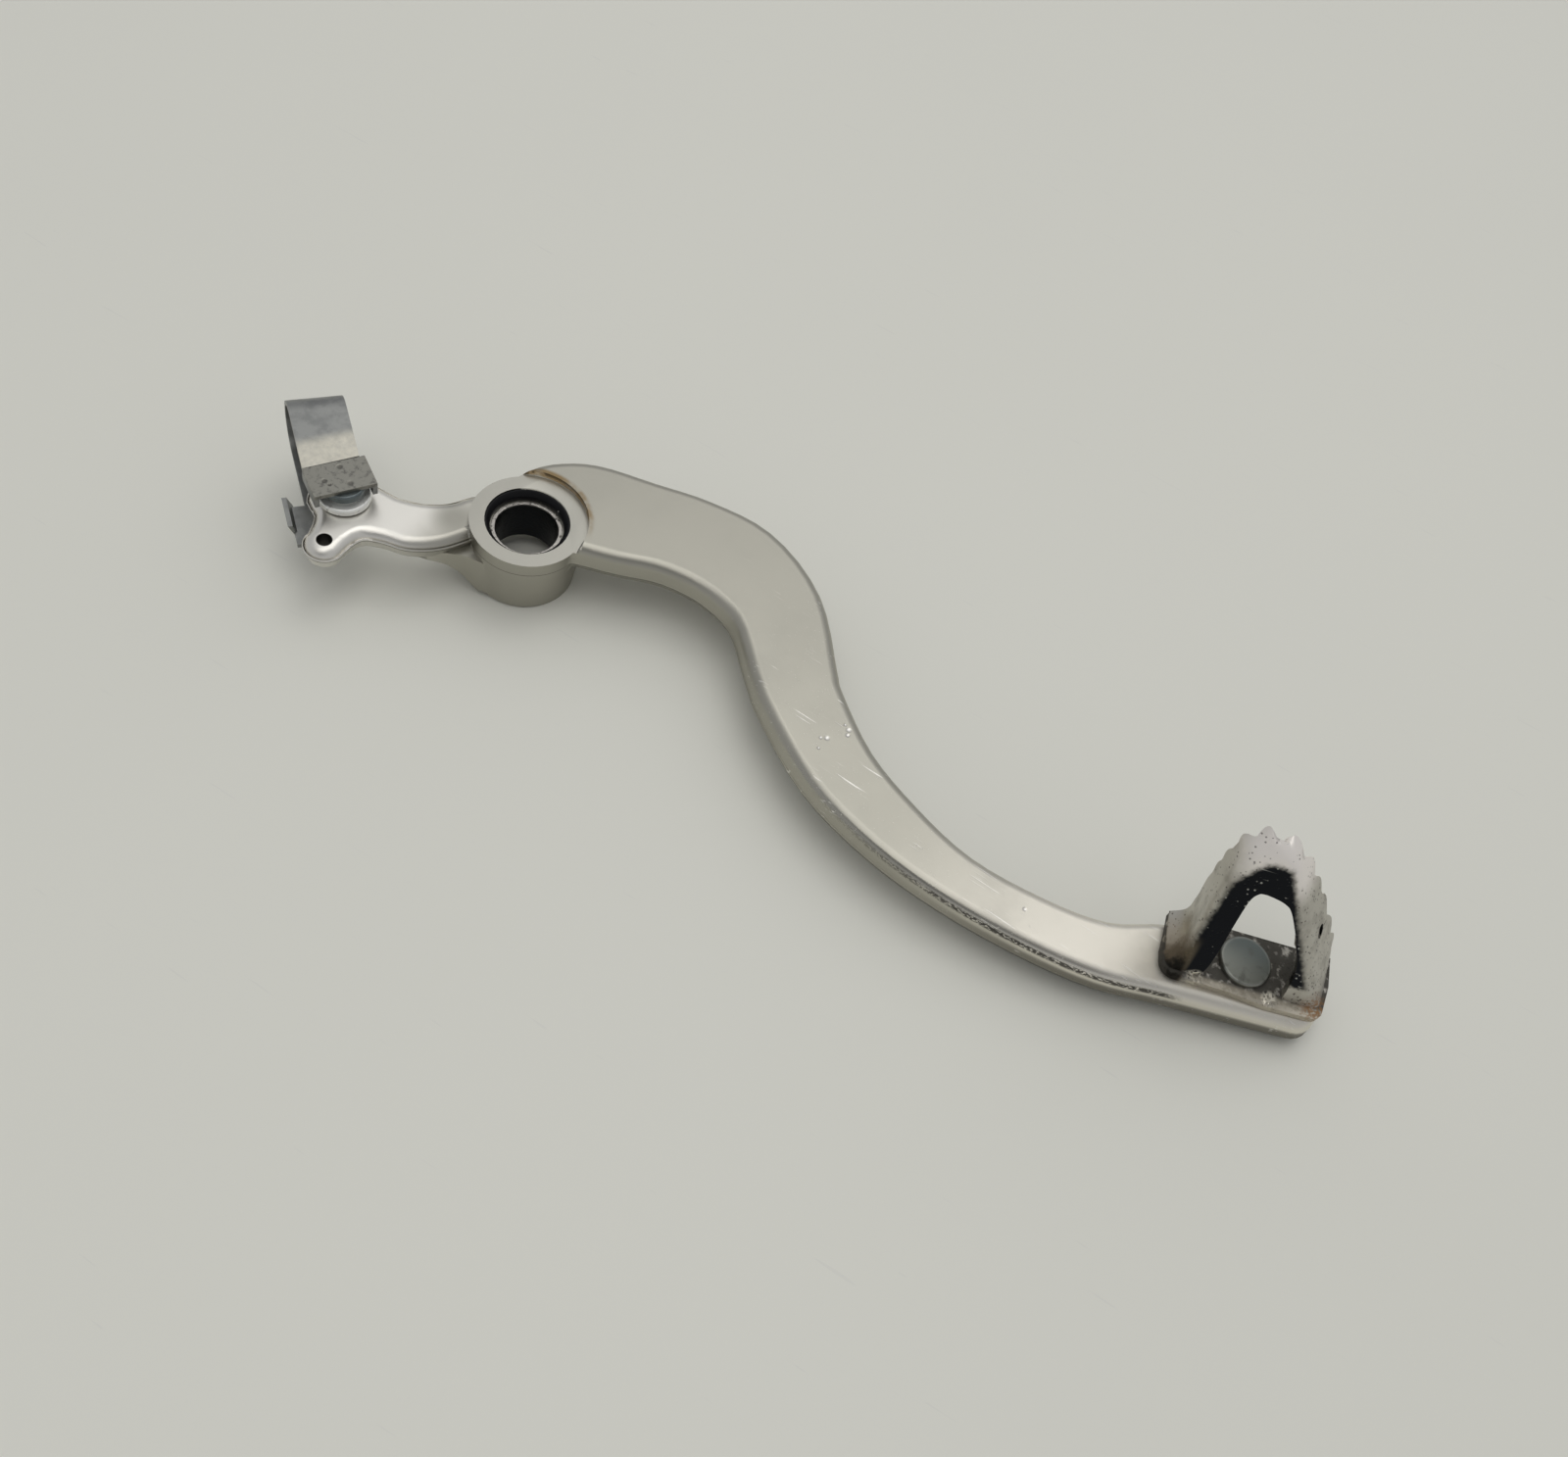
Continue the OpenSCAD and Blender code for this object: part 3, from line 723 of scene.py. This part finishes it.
bpy.ops.object.select_all(action="DESELECT")
bpy.ops.mesh.primitive_cylinder_add(vertices=16, radius=0.5, depth=CUTTER_DEPTH, location=(0, 0, 0))
slit_cutter = bpy.context.object
bpy.ops.object.mode_set(mode="EDIT")
bpy.ops.mesh.select_all(action="SELECT")
bpy.ops.transform.resize(value=(SLIT_WIDTH, SLIT_LENGTH, 1.0), center_override=(0, 0, 0))
bpy.ops.object.mode_set(mode="OBJECT")
cutter_frame = Matrix((-SLIT_FRAME[0], SLIT_FRAME[2], SLIT_FRAME[1])).transposed()
slit_cutter.rotation_euler = cutter_frame.to_euler()
slit_cutter.location = SLIT_MIDDLE
print("The cutter reaches", round(CUTTER_DEPTH / 2 * 1000, 1), "mm into the wall")

# %% [markdown]
# ## The pieces
#
# Each copy stands for one CAD piece and moves with the same body. The arm and the toe tip keep
# their own edges, because the die and the press already rounded them. The clip, the rivet and
# the turned pieces get small bevels.

# %% Finished copies of the pieces
finished_copy("pedal_arm", "arm", "pedal", ALUMINIUM, angle=32, flat=0.05)
finished_copy("pivot_bush", "bush", "pedal", BUSH, bevel=0.0002)
finished_copy("outer_seal", "seal_outer", "pedal", RUBBER, bevel=0.00015)
finished_copy("inner_seal", "seal_inner", "pedal", RUBBER, bevel=0.00015)
finished_copy("toe_tip", "toe", "pedal", TOE, angle=40, flat=0.05, cutter=slit_cutter)
finished_copy("toe_rivet", "rivet", "pedal", RIVET, bevel=0.00015)
finished_copy("clevis_pin", "pin", "clip", PIN, bevel=0.00015)
finished_copy("spring_clip", "clip_sheet", "clip", CLIP, bevel=0.0002)

# %% [markdown]
# ## Table
#
# The pedal lies on the inner rim of its boss and on the closed end of the rivet, so the table
# is tilted by 2.9 degrees against the part. Its paint is a pale warm grey.

# %% The table
SLOPE = 0.0505
TABLE_DROP = 0.01003  # the table's distance below the middle of the bore, in metres

bpy.ops.mesh.primitive_plane_add(size=6.0, location=(0, 0, 0))
table = bpy.context.object
table.name = "table"
bpy.ops.object.mode_set(mode="EDIT")
bpy.ops.mesh.select_all(action="SELECT")
bpy.ops.transform.rotate(value=math.atan(SLOPE), orient_axis="Y", center_override=(0, 0, 0))
bpy.ops.transform.translate(value=(0, 0, -TABLE_DROP))
bpy.ops.object.mode_set(mode="OBJECT")
print("The table is tilted by", round(math.degrees(math.atan(SLOPE)), 1), "degrees")

# %% The paint of the table
def table_paint():
    material, place = new_finish("table_paint")
    cloud = noise(place, 6.0, 2.0)
    lines = scratches(place, 62, 900.0, 12.0, 0.27)
    base = mix(rgb(0.84, 0.835, 0.76), rgb(0.82, 0.815, 0.745), cloud)
    base = mix(base, rgb(0.74, 0.735, 0.69), lines * 0.35)
    relief = noise(place, 900.0, 2.0) * 0.1
    return close_finish(material, place, base, 0.55, relief, metal=0.0)


table.data.materials.append(table_paint())

# %% [markdown]
# ## Lamps
#
# A wide dim light hangs behind the table, where the flat top of the arm mirrors it. A brighter
# one overhead draws the bright line along the rounded near edge.

# %% Two soft lamps
LIT_MIDDLE = Vector((0.09, 0, 0))


def soft_light(name, toward, distance, size, watts, colour):
    bpy.ops.object.light_add(type="AREA")
    lamp = bpy.context.object
    lamp.name = name
    lamp.data.shape = "RECTANGLE"
    lamp.data.size, lamp.data.size_y = size
    lamp.data.energy = watts
    lamp.data.color = colour
    from_middle = Vector(toward).normalized()
    lamp.location = LIT_MIDDLE + from_middle * distance
    lamp.rotation_mode = "QUATERNION"
    lamp.rotation_quaternion = from_middle.to_track_quat("Z", "Y")
    print(name, "gives", watts, "watts")


soft_light("window", toward=(-0.15, 0.62, 0.76), distance=2.2, size=(2.8, 1.7), watts=4.6,
           colour=(1.0, 0.995, 0.965))
soft_light("overhead", toward=(-0.1, 0.0, 1.0), distance=1.6, size=(2.2, 0.8), watts=7.0,
           colour=(1.0, 0.99, 0.96))

# %% [markdown]
# ## World
#
# The world fills the shadows. It is darker in one patch, as where someone stands at the table,
# and that patch draws the dark line beside the bright one. The camera sees the world a little
# brighter than the part does, so the room stays pale without more light on the metal. In a
# world, the Generated coordinate is the direction in which a ray looks.

# %% The world
FILL = 0.47
SHADE = 0.32
SHADE_TOWARD = (0.106, -0.57, 0.815)
PALE_ROOM = 0.25

world = bpy.data.worlds.new("studio")
world.use_nodes = True
bpy.context.scene.world = world
world.node_tree.nodes.clear()
sky = Socket(world.node_tree)
seen = sky.node("LightPath", {}, out="Is Camera Ray")
direction = sky.node("TexCoord", {}, out="Generated")
facing = direction.node("VectorMath", {0: direction, 1: SHADE_TOWARD}, out="Value",
                        operation="DOT_PRODUCT")
strength = FILL - ramp(facing, 0.84, 0.96) * SHADE + seen * PALE_ROOM
light = seen.node("Background", {"Color": rgb(0.97, 0.98, 1.0), "Strength": strength})
seen.node("OutputWorld", {"Surface": light})
print("The world's strength is", FILL, "and", round(FILL - SHADE, 2), "in its shaded patch")

# %% [markdown]
# ## Camera
#
# The place, the direction and the lens repeat those of the reference photograph. The two
# directions were found with few digits, so they are squared up before use.

# %% Camera
CAMERA_PLACE = Vector((0.1325, -0.2166, 0.3110))
LENS = 34.67  # millimetres, on a sensor 36 mm wide

bpy.ops.object.camera_add()
camera = bpy.context.object
camera.name = "camera"
camera.data.lens = LENS
camera.data.sensor_width = 36.0
camera.data.clip_start, camera.data.clip_end = 0.02, 20.0
right = Vector((0.835, 0.507, 0.214))
up = Vector((-0.535, 0.657, 0.531))
back = right.cross(up).normalized()
right = up.cross(back).normalized()
up = back.cross(right)
camera.matrix_world = Matrix((
    (right.x, up.x, back.x, CAMERA_PLACE.x),
    (right.y, up.y, back.y, CAMERA_PLACE.y),
    (right.z, up.z, back.z, CAMERA_PLACE.z),
    (0, 0, 0, 1),
))
bpy.context.scene.camera = camera
bpy.context.scene.view_settings.view_transform = "Standard"
print("The camera looks along", -back)
